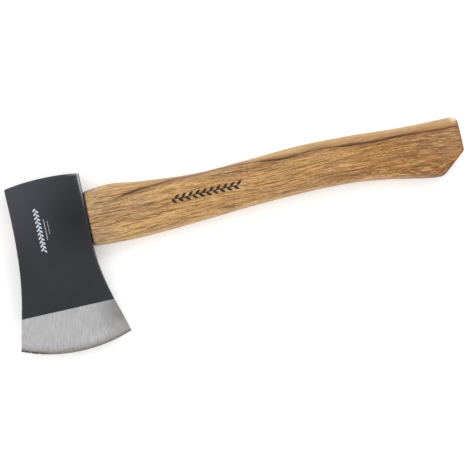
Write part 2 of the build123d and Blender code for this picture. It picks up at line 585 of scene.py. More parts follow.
def onArc(radius, away):
    # how far a round stretch reaches out at a distance from its middle
    return math.sqrt(max(0.0, radius ** 2 - away ** 2))


def buttReachAt(depth):
    # the end as seen from the side: a rounded back corner, a flat face, a slant and a rounded knob
    shape = handleShape
    if depth < shape["faceTop"]:
        corner = shape["backCornerRound"]
        return shape["buttReach"] - corner + onArc(corner, shape["faceTop"] - depth)
    if depth < shape["faceBottom"]:
        return shape["buttReach"]
    endReach, endDepth = shape["slantEnd"]
    if depth < endDepth:
        share = (depth - shape["faceBottom"]) / (endDepth - shape["faceBottom"])
        return shape["buttReach"] + (endReach - shape["buttReach"]) * share
    centreReach, centreDepth = shape["knobCentre"]
    return centreReach + onArc(shape["knobRound"], depth - centreDepth)


def handleTurns():
    # even steps round the oval, with one of them moved onto the crease between the face and the slant
    count = handleShape["ringPoints"]
    turns = [2 * math.pi * i / count for i in range(count)]
    low, high = backAt(handleShape["buttReach"]), bellyAt(handleShape["buttReach"])
    across = (2 * handleShape["faceBottom"] - low - high) / (high - low)
    crease = math.pi - math.acos(abs(across) ** (handleShape["roundness"] / 2))
    nearest = min(range(count // 2), key=lambda i: abs(turns[i] - crease))
    turns[nearest] = crease
    turns[count - nearest] = 2 * math.pi - crease
    return turns


def handlePoint(turn, reach, inset=0.0, sideInset=0.0):
    # (depth, rise) on the handle at a reach, moved in by the insets
    back, belly = backAt(reach), bellyAt(reach)
    across, up = oval(2, 2, handleShape["roundness"], [turn])[0]
    depth = (back + belly) / 2 + across * ((belly - back) / 2 - inset)
    return depth, up * (thicknessAt(reach) / 2 - sideInset)


def tongueEnd(depth):
    return toeSide(depth) + handleShape["tongueRecess"]


def tongueRings(turns, gap, nearReachAt):
    # from the chamfered end in the far mouth to the near end
    chamfer = handleShape["tongueChamfer"]
    ends = [lambda depth: tongueEnd(depth) + chamfer]
    middle = [lambda depth, r=reach: r for reach in handleShape["tongueStations"]]
    rings = [eyeRing(reachAt, -gap, turns) for reachAt in ends + middle + [nearReachAt]]
    return [eyeRing(tongueEnd, -gap - chamfer, turns)] + rings


def closeAcross(bm, ring, steps):
    # fills a ring with rows that join each point to the one opposite it through the thickness
    half = len(ring) // 2
    rows = [[ring[0]] * (steps + 1)]
    for i in range(1, half):
        near, far = ring[i], ring[-i]
        between = [bm.verts.new(near.co.lerp(far.co, k / steps)) for k in range(1, steps)]
        rows.append([near] + between + [far])
    rows.append([ring[half]] * (steps + 1))
    for row, following in zip(rows, rows[1:]):
        for k in range(steps):
            corners = []
            for corner in (row[k], following[k], following[k + 1], row[k + 1]):
                if corner not in corners:
                    corners.append(corner)
            bm.faces.new(corners)


def capRings(name, rings):
    # rings joined one to the next, and closed at both ends
    bm = bmesh.new()
    rows = skinRings(bm, rings)
    for ring in (rows[0], rows[-1]):
        closeAcross(bm, ring, handleShape["capSteps"])
    return finishMesh(bm, name)


def buildHandle():
    shape, turns = handleShape, handleTurns()
    shoulder, butt = shape["shoulderRound"], shape["buttRound"]

    def shoulderAt(depth):
        return handleSide(depth) + shape["shoulderGap"]

    # where each line along the handle starts and ends, found by closing in on it
    starts, ends = [], []
    for turn in turns:
        start, end = shoulderAt(eye["depth"]), shape["buttReach"]
        for _ in range(shape["passes"]):
            start = shoulderAt(handlePoint(turn, start)[0])
            end = (end + buttReachAt(handlePoint(turn, end)[0])) / 2
        starts.append(start)
        ends.append(end)

    def ringAt(reaches, inset=0.0, sideInset=0.0):
        ring = []
        for turn, reach in zip(turns, reaches):
            depth, rise = handlePoint(turn, reach, inset, sideInset)
            ring.append(place(reach, depth, rise))
        return ring

    rings = tongueRings(turns, shape["tongueGap"], shoulderAt)
    quarter = quarterSteps(shape["roundSteps"]) + [math.pi / 2]
    for angle in quarter:
        inset = shoulder * (1 - math.sin(angle))
        along = shoulder * (1 - math.cos(angle))
        rings.append(ringAt([start + along for start in starts], inset, inset))
    for share in spread(0, 1, shape["stations"])[1:]:
        rings.append(ringAt([
            start + shoulder + (end - start - shoulder - butt) * share for start, end in zip(starts, ends)
        ]))
    for angle in quarter[1:]:
        short = butt * (1 - math.sin(angle))
        rings.append(ringAt([end - short for end in ends], sideInset=butt * (1 - math.cos(angle))))
    return capRings("handle_wood_grip", rings)


# ---- wedges

wedges = {
    "wood": {
        "length": 38.0,
        "mouth": 5.2,
        "tip": 1.2,
        "nearReach": 20.0,
        "spare": 6.0,           # how much wider than the eye the taper is before it is cut to the eye
    },
    "steel": {
        "length": 20.0,
        "mouth": 2.8,
        "tip": 0.6,
        "width": 14.0,
        "spacing": 19.0,
        "round": 0.15,
        "roundSteps": 2,
    },
    "clearance": 0.04,
    "lead": 2.0,                # how far a cutting taper stands out of the tongue
    "barbs": 6,
    "barbHeight": 0.16,
    "barbInset": 0.5,
    "barbSides": 6,
}


def buildTaper(name, sizes, width, centreDepth, alongDepth, extra=0.0, lead=wedges["lead"]):
    # a wedge from the tongue's end inwards: its thickness runs along the depth or along the rise
    length, mouth, tip = sizes["length"], sizes["mouth"], sizes["tip"]
    near = tongueEnd(centreDepth)
    slope = (mouth - tip) / length
    bm = bmesh.new()
    corners = []
    for reach, thickness in ((near - lead, mouth + slope * lead), (near + length + extra, tip)):
        a, b = thickness / 2 + extra, width / 2 + extra
        for x, y in ((-a, -b), (a, -b), (a, b), (-a, b)):
            across, rise = (x, y) if alongDepth else (y, x)
            corners.append(bm.verts.new(place(reach, centreDepth + across, rise)))
    front, rear = corners[:4], corners[4:]
    bm.faces.new(front)
    bm.faces.new(rear)
    for i in range(4):
        j = (i + 1) % 4
        bm.faces.new((front[i], front[j], rear[j], rear[i]))
    return finishMesh(bm, name)


def steelDepths():
    half = wedges["steel"]["spacing"] / 2
    return [eye["depth"] - half, eye["depth"] + half]


def steelTaper(name, depth, extra=0.0, lead=wedges["lead"]):
    return buildTaper(name, wedges["steel"], wedges["steel"]["width"], depth, True, extra, lead)


def woodTaper(name, extra=0.0):
    width = eye["lengthFar"] + wedges["wood"]["spare"]
    return buildTaper(name, wedges["wood"], width, eye["depth"], False, extra)


def buildWoodenWedge(turns):
    gap = handleShape["tongueGap"] + wedges["clearance"]
    wedge = capRings("wooden_wedge_core", tongueRings(turns, gap, lambda depth: wedges["wood"]["nearReach"]))
    taper = woodTaper("wood_taper")
    cut(wedge, taper, "INTERSECT")
    discard(taper)
    return wedge


# ---- geometry node trees


def startTree(name, sockets):
    tree = bpy.data.node_groups.new(name, "GeometryNodeTree")
    tree.interface.new_socket(name="Geometry", in_out="OUTPUT", socket_type="NodeSocketGeometry")
    for label, kind in sockets:
        tree.interface.new_socket(name=label, in_out="INPUT", socket_type="NodeSocket" + kind)
    return tree, tree.nodes.new("NodeGroupInput").outputs, tree.nodes.new("NodeGroupOutput")


def endTree(tree, out, parts, material):
    joined = addNode(tree, "GeometryNodeJoinGeometry")
    for part in parts:
        tree.links.new(part, joined.inputs[0])
    real = addNode(tree, "GeometryNodeRealizeInstances", {0: joined.outputs[0]})
    painted = addNode(tree, "GeometryNodeSetMaterial", {"Geometry": real.outputs[0], "Material": material})
    tree.links.new(painted.outputs[0], out.inputs[0])
    return tree


def growFromTree(name, tree, values):
    # runs the tree on an empty mesh and keeps its result as the piece's own mesh
    piece = bpy.data.objects.new(name, bpy.data.meshes.new(name))
    bpy.context.scene.collection.objects.link(piece)
    step = piece.modifiers.new("grow", "NODES")
    step.node_group = tree
    for item in tree.interface.items_tree:
        if item.in_out == "INPUT":
            step[item.identifier] = values[item.name]
    return bakeModifiers(piece)


def pointsAlong(tree, length, count):
    # evenly spaced points along x, as far to one side of the middle as to the other
    start = times(tree, length, -0.5)
    pitch = over(tree, length, minus(tree, count, 1))
    return addNode(tree, "GeometryNodeMeshLine", {
        "Count": count, "Start Location": joinAxes(tree, start), "Offset": joinAxes(tree, pitch),
    }).outputs[0]


def sidesByTurns(tree):
    # the number of each point, and -1 or 1 by turns
    index = addNode(tree, "GeometryNodeInputIndex").outputs[0]
    return index, timesPlus(tree, calc(tree, "MODULO", index, 2), 2, -1)


printShape = {
    "film": 0.1,
    "proud": 0.03,
    "leafPoints": 14,
    "leafTaper": 0.6,           # how much narrower a leaf is at its tips
    "stemPoints": 40,
    "dotPoints": 10,
}


def sprigTree():
    # a stem with pointed leaves to both sides of it in turn
    tree, given, out = startTree("sprig", [
        ("Length", "Float"), ("Leaves", "Int"), ("Leaf Length", "Float"), ("Leaf Width", "Float"),
        ("Lean", "Float"), ("Stem Width", "Float"), ("Thickness", "Float"), ("Ink", "Material"),
    ])
    line = pointsAlong(tree, given["Length"], given["Leaves"])
    side = sidesByTurns(tree)[1]
    halfLeaf = times(tree, given["Leaf Length"], 0.5)
    ahead = times(tree, calc(tree, "COSINE", given["Lean"]), halfLeaf)
    aside = times(tree, calc(tree, "SINE", given["Lean"]), halfLeaf, side)
    roots = addNode(tree, "GeometryNodeSetPosition", {
        "Geometry": line, "Offset": joinAxes(tree, ahead, aside),
    })
    turned = addNode(tree, "FunctionNodeEulerToRotation", {
        0: joinAxes(tree, 0.0, 0.0, times(tree, given["Lean"], side)),
    })
    disc = addNode(tree, "GeometryNodeMeshCylinder", {
        "Vertices": printShape["leafPoints"], "Radius": 1.0, "Depth": 1.0,
    })
    x, y, z = splitAxes(tree, addNode(tree, "GeometryNodeInputPosition").outputs[0])
    narrowing = timesPlus(tree, times(tree, x, x), -printShape["leafTaper"], 1.0)
    halfWidth = times(tree, given["Leaf Width"], 0.5, narrowing)
    leaf = addNode(tree, "GeometryNodeSetPosition", {
        "Geometry": disc.outputs[0],
        "Position": joinAxes(
            tree, times(tree, x, halfLeaf), times(tree, y, halfWidth), times(tree, z, given["Thickness"]),
        ),
    })
    leaves = addNode(tree, "GeometryNodeInstanceOnPoints", {
        "Points": roots.outputs[0], "Instance": leaf.outputs[0], "Rotation": turned.outputs[0],
    })
    stem = addNode(tree, "GeometryNodeMeshCube", {
        "Size": joinAxes(tree, given["Length"], given["Stem Width"], given["Thickness"]),
        "Vertices X": printShape["stemPoints"],
    })
    return endTree(tree, out, [leaves.outputs[0], stem.outputs[0]], given["Ink"])


def dotRowTree():
    # a row of small discs
    tree, given, out = startTree("dot_row", [
        ("Length", "Float"), ("Dots", "Int"), ("Dot Width", "Float"), ("Thickness", "Float"),
        ("Ink", "Material"),
    ])
    dot = addNode(tree, "GeometryNodeMeshCylinder", {
        "Vertices": printShape["dotPoints"], "Radius": times(tree, given["Dot Width"], 0.5),
        "Depth": given["Thickness"],
    })
    dots = addNode(tree, "GeometryNodeInstanceOnPoints", {
        "Points": pointsAlong(tree, given["Length"], given["Dots"]), "Instance": dot.outputs[0],
    })
    return endTree(tree, out, [dots.outputs[0]], given["Ink"])


def barbTree():
    # pairs of small ridges on the two faces of a taper that runs along x
    tree, given, out = startTree("wedge_barbs", [
        ("Length", "Float"), ("Mouth", "Float"), ("Tip", "Float"), ("Width", "Float"), ("Barbs", "Int"),
        ("Barb Height", "Float"), ("Steel", "Material"),
    ])
    line = addNode(tree, "GeometryNodeMeshLine", {"Count": times(tree, given["Barbs"], 2)}).outputs[0]
    index, side = sidesByTurns(tree)
    pair = calc(tree, "FLOOR", over(tree, index, 2))
    share = over(tree, calc(tree, "ADD", pair, 1), calc(tree, "ADD", given["Barbs"], 1))
    along = times(tree, share, given["Length"])
    thickness = timesPlus(tree, share, minus(tree, given["Tip"], given["Mouth"]), given["Mouth"])
    spots = addNode(tree, "GeometryNodeSetPosition", {
        "Geometry": line, "Position": joinAxes(tree, along, times(tree, thickness, 0.5, side)),
    })
    ridge = addNode(tree, "GeometryNodeMeshCylinder", {
        "Vertices": wedges["barbSides"], "Radius": given["Barb Height"], "Depth": given["Width"],
    })
    ridges = addNode(tree, "GeometryNodeInstanceOnPoints", {
        "Points": spots.outputs[0], "Instance": ridge.outputs[0],
    })
    return endTree(tree, out, [ridges.outputs[0]], given["Steel"])


def layOut(piece, target):
    # moves each vertex from the flat pattern (x, y, z in metres) to where it lies on the object
    for vertex in piece.data.vertices:
        vertex.co = target(*(value / mm for value in vertex.co))
    piece.data.update()
    return piece


# ---- finishes

handleTones = {
    "reach": (27.0, 312.0),
    "tones": [           # share of the handle's length from the head, and the wood's colour there
        (0.0, srgb(194, 162, 122)),
        (0.12, srgb(208, 165, 103)),
        (0.35, srgb(188, 144, 88)),
        (0.62, srgb(182, 133, 74)),
        (0.8, srgb(167, 112, 47)),
        (1.0, srgb(159, 101, 39)),
    ],
    "dark": srgb(126, 80, 38),
    "pale": srgb(214, 174, 116),
    "pore": srgb(74, 43, 20),
    "streak": srgb(70, 38, 16),
    "streakEdge": srgb(116, 70, 36),
    "grey": srgb(138, 113, 92),
    "sapwood": srgb(184, 149, 102),
    # pale tone for wear and a painted highlight along the back and the belly
    "worn": srgb(208, 180, 140),
    # colour of the painted highlight at the butt's back corner
    "paintedHighlight": srgb(236, 214, 190),
    "knot": srgb(120, 64, 28),
    # end grain colour, also used for painted shade at the shoulder and along the butt's rim
    "endGrainAndShade": srgb(84, 54, 31),
    "endGrainPale": srgb(134, 94, 58),
    # colour of the painted shade on the underside by the knob
    "undersideShade": srgb(148, 128, 112),
    "drift": 13.0,       # how far the grain wanders across, slowly and then quickly
    "waver": 2.3,
    "knotRings": 9.0,
    "knotWaver": 14.0,
    "noises": {          # stretch on each axis, then detail, roughness, distortion and shift
        "fibres": ((0.13, 2.6, 1.9), 4.0, 0.65),
        "strokes": ((0.062, 1.2, 0.7), 3.0, 0.65, 0.0, (5.0, 2.0, 8.0)),
        "flecks": ((0.42, 2.0, 1.5), 2.0, 0.6, 0.0, (3.0, 6.0, 2.0)),
        "bands": ((0.008, 0.2, 0.2), 3.0, 0.55),
        "rings": ((0.012, 0.42, 0.3), 2.0, 0.5, 0.3),
        "dashes": ((0.09, 1.7, 1.1), 1.5, 0.5),
        "clusters": ((0.014, 0.3, 0.3), 2.0, 0.5, 0.0, (7.0, 3.0, 1.0)),
    },
    "stains": [          # pattern, where it starts and is full, how strong it is, and its tone
        ("bands", 0.5, 0.68, 0.5, "dark"),
        ("bands", 0.46, 0.3, 0.45, "pale"),
        ("mottling", 0.48, 0.7, 0.3, "grey"),
        ("strokes", 0.5, 0.63, 0.78, "dark"),
        ("strokes", 0.49, 0.36, 0.72, "pale"),
        ("fibres", 0.5, 0.68, 0.7, "dark"),
        ("fibres", 0.48, 0.3, 0.6, "pale"),
        ("flecks", 0.52, 0.66, 0.5, "dark"),
        ("flecks", 0.48, 0.34, 0.4, "pale"),
    ],
    "streakPath": [      # where the dark mineral streak runs: reach, depth
        (44, 27.5), (54.5, 25.0), (75, 22.6), (92.6, 21.7), (111, 21.5), (135, 20.9), (157, 21.9),
        (184, 24.3), (203, 23.4), (230, 25.4), (245, 27.0), (262, 27.0), (288, 28.2), (312, 29.8),
    ],
    "pathScale": 60.0,
    "wideStreak": (78.0, 92.0, 132.0, 146.0),
    "fineStreak": (108.0, 128.0, 150.0, 164.0),
    "fineMiddle": (126.0, 24.9),
    "fineSlope": 0.09,
    "knots": [           # reach, depth, half length and half height, and push on the grain
        ((215.8, 49.5, 11.0, 5.0), 4.0),
        ((280.7, 57.5, 12.0, 5.0), -3.6),
        ((247.0, 46.0, 9.0, 3.0), 2.5),
    ],
    "patches": [         # reach, depth, half length and half height, and how strong
        ((67.0, 33.5, 8.0, 9.0), 0.55),
        ((38.0, 50.0, 7.0, 3.2), 0.7),
        ((189.0, 49.5, 6.0, 3.0), 0.45),
        ((45.0, 27.0, 14.0, 2.2), 0.7),
        ((300.0, 34.0, 12.0, 3.0), 0.4),
        ((302.0, 46.0, 9.0, 4.0), 0.4),
    ],
    # where the painted highlight sits at the butt's back corner
    "cornerHighlightSpot": (309.5, 23.0, 2.6, 2.0),
    "pith": (34.0, 6.0, 1.0, 1.0),      # rise and depth of the tree's middle, off to one side
    "ringPitch": 2.3,
    "ringWaver": 16.0,
}


def streakCurve(tree, share):
    # reads the streak's depth from a curve along the handle
    scale = handleTones["pathScale"]
    low, high = handleTones["reach"]
    path = addNode(tree, "ShaderNodeFloatCurve", {"Value": share})
    points = path.mapping.curves[0].points
    for number, (atReach, atDepth) in enumerate(handleTones["streakPath"]):
        spot = ((atReach - low) / (high - low), atDepth / scale)
        if number < 2:
            points[number].location = spot
        else:
            points.new(*spot)
    path.mapping.update()
    return times(tree, path.outputs[0], scale)


def grainColour(tree, spot, share):
    # the wood's colour, its patterns, and the lines and pores that its relief follows
    tones = handleTones
    reach, depth, rise = splitAxes(tree, spot)

    # the grain wanders across as it runs along, and bends round the knots
    drift = noiseAt(tree, spot, (0.009, 0.035, 0.05))
    wave = noiseAt(tree, spot, (0.045, 0.14, 0.14), 3.0)
    across = timesPlus(tree, wave, tones["waver"], timesPlus(tree, drift, tones["drift"], depth))
    knotTone = 0.0
    for shape, push in tones["knots"]:
        away = spotAway(tree, reach, depth, shape)
        mask = fadeOut(tree, away)
        across = timesPlus(tree, mask, push, across)
        turns = times(tree, calc(tree, "SQRT", away), tones["knotRings"])
        swirl = calc(tree, "SINE", timesPlus(tree, wave, tones["knotWaver"], turns))
        knotTone = timesPlus(tree, mask, ranged(tree, swirl, -0.8, 0.8, 0.15, 1.0), knotTone)
    grain = joinAxes(tree, reach, across, rise)
    patterns = {name: noiseAt(tree, grain, *values) for name, values in tones["noises"].items()}
    patterns["mottling"] = noiseAt(tree, spot, (0.03, 0.05, 0.05), 3.0, shift=(2.0, 9.0, 4.0))
    patterns["wave"] = wave

    # thin wavy lines where a slow noise crosses its middle value, plainest near the head
    clusters = patterns["clusters"]
    fromMiddle = sizeOf(tree, minus(tree, patterns["rings"], 0.5))
    lines = times(
        tree, ranged(tree, fromMiddle, 0.004, 0.036, 1.0, 0.0), ranged(tree, clusters, 0.3, 0.5),
        ranged(tree, reach, 60.0, 130.0, 1.0, 0.6),
    )
    pores = ranged(tree, patterns["dashes"], 0.57, 0.68)
    pores = times(tree, pores, ranged(tree, clusters, 0.34, 0.54, 0.25, 1.0))

    colour = ramp(tree, share, tones["tones"])
    for pattern, low, high, amount, tone in tones["stains"]:
        colour = stain(tree, colour, tones[tone], patterns[pattern], low, high, amount)
    colour = tint(tree, times(tree, lines, 0.85), colour, tones["pore"])
    colour = tint(tree, times(tree, pores, 0.7), colour, tones["pore"])
    colour = tint(tree, times(tree, knotTone, 0.6, clamp=True), colour, tones["knot"])
    for shape, strength in tones["patches"]:
        mask = spotMask(tree, reach, depth, shape)
        mask = times(tree, mask, ranged(tree, patterns["strokes"], 0.34, 0.62, 0.3 * strength, strength))
        colour = tint(tree, mask, colour, tones["grey"])
    return colour, patterns, lines, pores


def streakOver(tree, colour, spot, share, wave):
    # dark mineral streak through the thickness, and a finer one beside it
    tones = handleTones
    reach, depth, rise = splitAxes(tree, spot)
    wobble = timesPlus(tree, minus(tree, wave, 0.5), 1.8, times(tree, rise, -0.06))
    below = minus(tree, depth, calc(tree, "ADD", streakCurve(tree, share), wobble))
    wide = between(tree, reach, *tones["wideStreak"])
    width = ranged(tree, noiseAt(tree, spot, (0.05, 0.0, 0.02)), 0.35, 0.65, 0.4, 1.1)
    width = timesPlus(tree, wide, 0.5, width)
    started = times(tree, ranged(tree, reach, 44.0, 60.0), ranged(tree, sizeOf(tree, rise), 2.5, 5.5))
    near = over(tree, sizeOf(tree, below), width)
    broken = noiseAt(tree, spot, (0.04, 0.0, 0.0), 3.0, shift=(0.0, 5.0, 5.0))
    strength = calc(tree, "MAXIMUM", ranged(tree, broken, 0.3, 0.5, 0.5, 1.0), wide)
    core = times(tree, ranged(tree, near, 0.35, 1.25, 1.0, 0.0), strength, started)
    halo = times(tree, ranged(tree, sizeOf(tree, below), 0.5, 4.0, 0.4, 0.0), started)
    colour = tint(tree, halo, colour, tones["streakEdge"])
    colour = tint(tree, times(tree, core, 0.92), colour, tones["streak"])
    middleReach, middleDepth = tones["fineMiddle"]
    fineDepth = timesPlus(tree, minus(tree, reach, middleReach), tones["fineSlope"], middleDepth)
    fineAway = sizeOf(tree, minus(tree, depth, calc(tree, "ADD", fineDepth, wobble)))
    fine = times(
        tree, ranged(tree, fineAway, 0.1, 0.7, 1.0, 0.0), between(tree, reach, *tones["fineStreak"]), started,
    )
    colour = tint(tree, times(tree, fine, 0.75), colour, tones["streak"])

    # a paler strip of sapwood behind the streak
    behind = times(tree, ranged(tree, below, -0.6, -2.4), ranged(tree, reach, 130.0, 190.0))
    return tint(tree, times(tree, behind, 0.4), colour, tones["sapwood"])


def sawnEnds(tree, colour, spot, ahead, fibres):
    # the sawn ends show their rings, and painted shade darkens the shoulder where it meets the head
    tones = handleTones
    reach, depth, rise = splitAxes(tree, spot)
    pits = noiseAt(tree, spot, (0.1, 1.9, 1.9), 3.0, 0.6)
    bend = noiseAt(tree, spot, (0.01, 0.07, 0.07))
    fromPith = calc(tree, "SQRT", spotAway(tree, rise, depth, tones["pith"]))
    ringAngle = timesPlus(tree, fromPith, tones["ringPitch"], times(tree, bend, tones["ringWaver"]))
    endTone = stain(
        tree, tones["endGrainPale"], tones["endGrainAndShade"], calc(tree, "SINE", ringAngle), 0.0, 1.0, 0.5,
    )
    endTone = stain(tree, endTone, tones["pore"], pits, 0.5, 0.66, 0.6)
    endTone = stain(tree, endTone, tones["endGrainAndShade"], fibres, 0.5, 0.7, 0.4)
    colour = stain(tree, colour, endTone, ahead, 0.15, 0.5, 0.9)
    colour = stain(tree, colour, endTone, ahead, -0.4, -0.8, 0.8)
    # painted shade where the shoulder meets the head
    shoulder = times(tree, ranged(tree, reach, 27.0, 30.2, 0.85, 0.0), ranged(tree, reach, 20.0, 24.0))
    return tint(tree, shoulder, colour, tones["endGrainAndShade"])


def rimDistance(tree, reach, depth):
    # how far a place is inside the sawn face and its slanted corner, as seen from the side
    shape = handleShape
    endReach, endDepth = shape["slantEnd"]
    fall, run = shape["buttReach"] - endReach, endDepth - shape["faceBottom"]
    length = math.hypot(fall, run)
    toFace = minus(tree, shape["buttReach"], reach)
    toSlant = times(tree, minus(tree, shape["faceBottom"], depth), fall / length)
    toSlant = timesPlus(tree, toFace, run / length, toSlant)
    return calc(tree, "MINIMUM", toFace, toSlant)


def makeHandleWood():
    tones = handleTones
    material, tree, shader = newMaterial(
        "handle_wood", Specular_IOR_Level=0.28, Coat_Weight=0.12, Coat_Roughness=0.3,
    )
    spot = fromHead(tree)
    reach, depth, rise = splitAxes(tree, spot)
    low, high = tones["reach"]
    share = over(tree, minus(tree, reach, low), high - low)
    colour, patterns, lines, pores = grainColour(tree, spot, share)
    fibres = patterns["fibres"]
    colour = streakOver(tree, colour, spot, share, patterns["wave"])

    # worn paler along the back and the belly, partly a painted highlight on their rounding, and a painted
    # highlight at the butt's back corner
    colour = stain(tree, colour, tones["worn"], sizeOf(tree, rise), 9.6, 6.0, 0.25)
    cornerHighlight = spotMask(tree, reach, depth, tones["cornerHighlightSpot"])
    colour = tint(tree, times(tree, cornerHighlight, 0.8), colour, tones["paintedHighlight"])

    # painted shade on the underside by the knob, where it faces away from the light
    normal = addNode(tree, "ShaderNodeTexCoord").outputs["Normal"]
    ahead, aside = splitAxes(tree, normal)[:2]
    underside = times(tree, ranged(tree, aside, -0.45, -0.95), ranged(tree, reach, 258.0, 296.0))
    colour = tint(tree, times(tree, underside, 0.8), colour, tones["undersideShade"], "MULTIPLY")
    # painted shade in a dark line along the rounding of the sawn face and its slant
    colour = stain(tree, colour, tones["endGrainAndShade"], rimDistance(tree, reach, depth), 1.3, 0.4, 0.85)
    colour = sawnEnds(tree, colour, spot, ahead, fibres)
    gloss = timesPlus(tree, pores, 0.2, ranged(tree, fibres, 0.3, 0.7, 0.42, 0.6))
    wire(tree, shader, Base_Color=colour, Roughness=gloss)
    relief = timesPlus(tree, pores, -0.8, times(tree, fibres, 0.5))
    bump(tree, shader, timesPlus(tree, lines, -0.3, relief), 0.00018, 0.7)
    return material


wedgeTones = {
    "layers": [(0.3, srgb(96, 68, 44)), (0.5, srgb(128, 96, 64)), (0.72, srgb(158, 126, 90))],
    "pits": srgb(84, 54, 32),
    "steel": [(0.3, srgb(120, 119, 117)), (0.7, srgb(176, 175, 172))],
    "rust": srgb(112, 82, 60),
}


def makeWedgeWood():
    # sawn end grain, darker than the handle, with its layers along the wedge
    material, tree, shader = newMaterial("wedge_wood", Roughness=0.75, Specular_IOR_Level=0.25)
    spot = fromHead(tree)
    layers = noiseAt(tree, spot, (0.12, 0.25, 3.2), 4.0, 0.6)
    pits = noiseAt(tree, spot, (0.3, 2.6, 3.4))
    colour = ramp(tree, layers, wedgeTones["layers"])
    wire(tree, shader, Base_Color=stain(tree, colour, wedgeTones["pits"], pits, 0.58, 0.68, 0.7))
    bump(tree, shader, timesPlus(tree, pits, -0.6, layers), 0.00025, 0.8)
    return material


def makeWedgeSteel():
    # dull cut steel with a little rust
    material, tree, shader = newMaterial("wedge_steel", Metallic=0.9)
    spot = fromHead(tree)
    scratches = noiseAt(tree, spot, (0.5, 4.0, 0.6), 3.0)
    rust = noiseAt(tree, spot, (0.5, 0.5, 0.5), 4.0, 0.65, shift=(3.0, 1.0, 2.0))
    colour = ramp(tree, scratches, wedgeTones["steel"])
    colour = stain(tree, colour, wedgeTones["rust"], rust, 0.56, 0.68, 0.6)
    wire(tree, shader, Base_Color=colour, Roughness=ranged(tree, rust, 0.4, 0.65, 0.4, 0.65))
    bump(tree, shader, scratches, 0.0001, 0.7)
    return material


lacquerTones = {
    "clouds": [(0.3, srgb(37, 39, 43)), (0.7, srgb(48, 49, 54))],
    # colour of the painted sheen
    "paintedSheen": srgb(67, 68, 74),
    # colour of the painted shade beside the handle
    "paintedShade": srgb(21, 22, 26),
    "speckle": srgb(84, 86, 90),
    # grey of the worn rims, which also serves as their painted highlight
    "bareAndHighlight": srgb(184, 184, 184),
    # where the painted shade is darkest
    "lacquerShadeSpot": (19.0, 34.0, 23.0, 25.0),       # reach, depth, half length and half height
    # where the rims' wear and painted highlight are strongest
    "rubbedHighlightSpot": (28.0, 4.0, 6.0, 14.0),
}


def makeLacquer():
    # satin charcoal lacquer with a very fine texture, thinner along the rims, with painted sheen and painted
    # shade, and a painted highlight on the rims
    tones = lacquerTones
    material, tree, shader = newMaterial("charcoal_lacquer", Specular_IOR_Level=0.2)
    spot = fromHead(tree)
    reach, depth = splitAxes(tree, spot)[:2]
    clouds = noiseAt(tree, spot, (0.03, 0.022, 0.03), 3.0)
    speckle = noiseAt(tree, spot, (2.2, 2.2, 2.2), 3.0, 0.6)
    peel = noiseAt(tree, spot, (0.9, 0.9, 0.9))
    colour = ramp(tree, clouds, tones["clouds"])
    # painted sheen lifts the tone towards the poll and the toe side, and painted shade makes it deepest
    # beside the handle
    sheen = times(tree, ranged(tree, reach, 26.0, -30.0, 0.35, 1.0), ranged(tree, depth, 62.0, 2.0))
    colour = tint(tree, times(tree, sheen, 0.8), colour, tones["paintedSheen"])
    # painted shade, darkest in a broad spot beside the handle
    paintedShade = spotMask(tree, reach, depth, tones["lacquerShadeSpot"])
    colour = tint(tree, times(tree, paintedShade, 0.84), colour, tones["paintedShade"])
    colour = stain(tree, colour, tones["speckle"], speckle, 0.6, 0.75, 0.22)
    # the rims are rubbed through to grey and carry a painted highlight, mostly at the poll's corner on the
    # handle side
    rims = addNode(tree, "ShaderNodeAttribute", attribute_name="rimWearAndHighlight").outputs["Fac"]
    corner = spotMask(tree, reach, depth, tones["rubbedHighlightSpot"])
    uneven = ranged(tree, speckle, 0.4, 0.6, 0.35, 1.0)
    rubbedAndHighlit = times(tree, rims, uneven, timesPlus(tree, corner, 1.45, 0.05), clamp=True)
    colour = tint(tree, rubbedAndHighlit, colour, tones["bareAndHighlight"])
    wire(tree, shader, Base_Color=colour, Roughness=ranged(tree, clouds, 0.3, 0.7, 0.36, 0.46))
    bump(tree, shader, timesPlus(tree, speckle, 0.3, peel), 0.00006, 0.6)
    return material


steelTones = {
    "pivotReach": 22.0,         # the grinding marks fan out from here
    "pivotDepth": -146.0,
    "pivotRadius": 255.0,
    "ground": [(0.3, srgb(155, 154, 155)), (0.5, srgb(178, 178, 179)), (0.7, srgb(203, 203, 204))],
    "coarse": srgb(156, 155, 156),
    "cloud": srgb(170, 168, 166),
    # darker tones for the painted shade beside the heel
    "steelShade": srgb(130, 130, 132),
    "steelShadeSpot": (34.0, 104.0, 12.0, 15.0),      # reach, depth, half length and half height
    "heel": srgb(128, 120, 112),
    "smoke": srgb(146, 140, 134),
    "honed": [(0.3, srgb(150, 148, 145)), (0.7, srgb(182, 181, 178))],
    "honedDark": srgb(118, 112, 105),
    "honedStain": srgb(104, 97, 90),
    "chip": srgb(54, 50, 47),
}


def brushMarks(tree, spot, across, along, detail=4.0):
    # scratches that fan out from a point beyond the poll
    reach, depth, rise = splitAxes(tree, spot)
    x = minus(tree, reach, steelTones["pivotReach"])
    y = minus(tree, depth, steelTones["pivotDepth"])
    turned = times(tree, calc(tree, "ARCTAN2", x, y), steelTones["pivotRadius"])
    return noiseAt(tree, joinAxes(tree, turned, y, rise), (across, along, 1.0), detail, 0.6)


def edgeDistance(tree, reach, depth):
    # how far a place is behind the cutting edge's arc
    x = minus(tree, reach, outline["edgeCentreReach"])
    y = minus(tree, depth, outline["edgeCentreDepth"])
    away = calc(tree, "SQRT", timesPlus(tree, x, x, times(tree, y, y)))
    return minus(tree, outline["edgeRadius"], away)


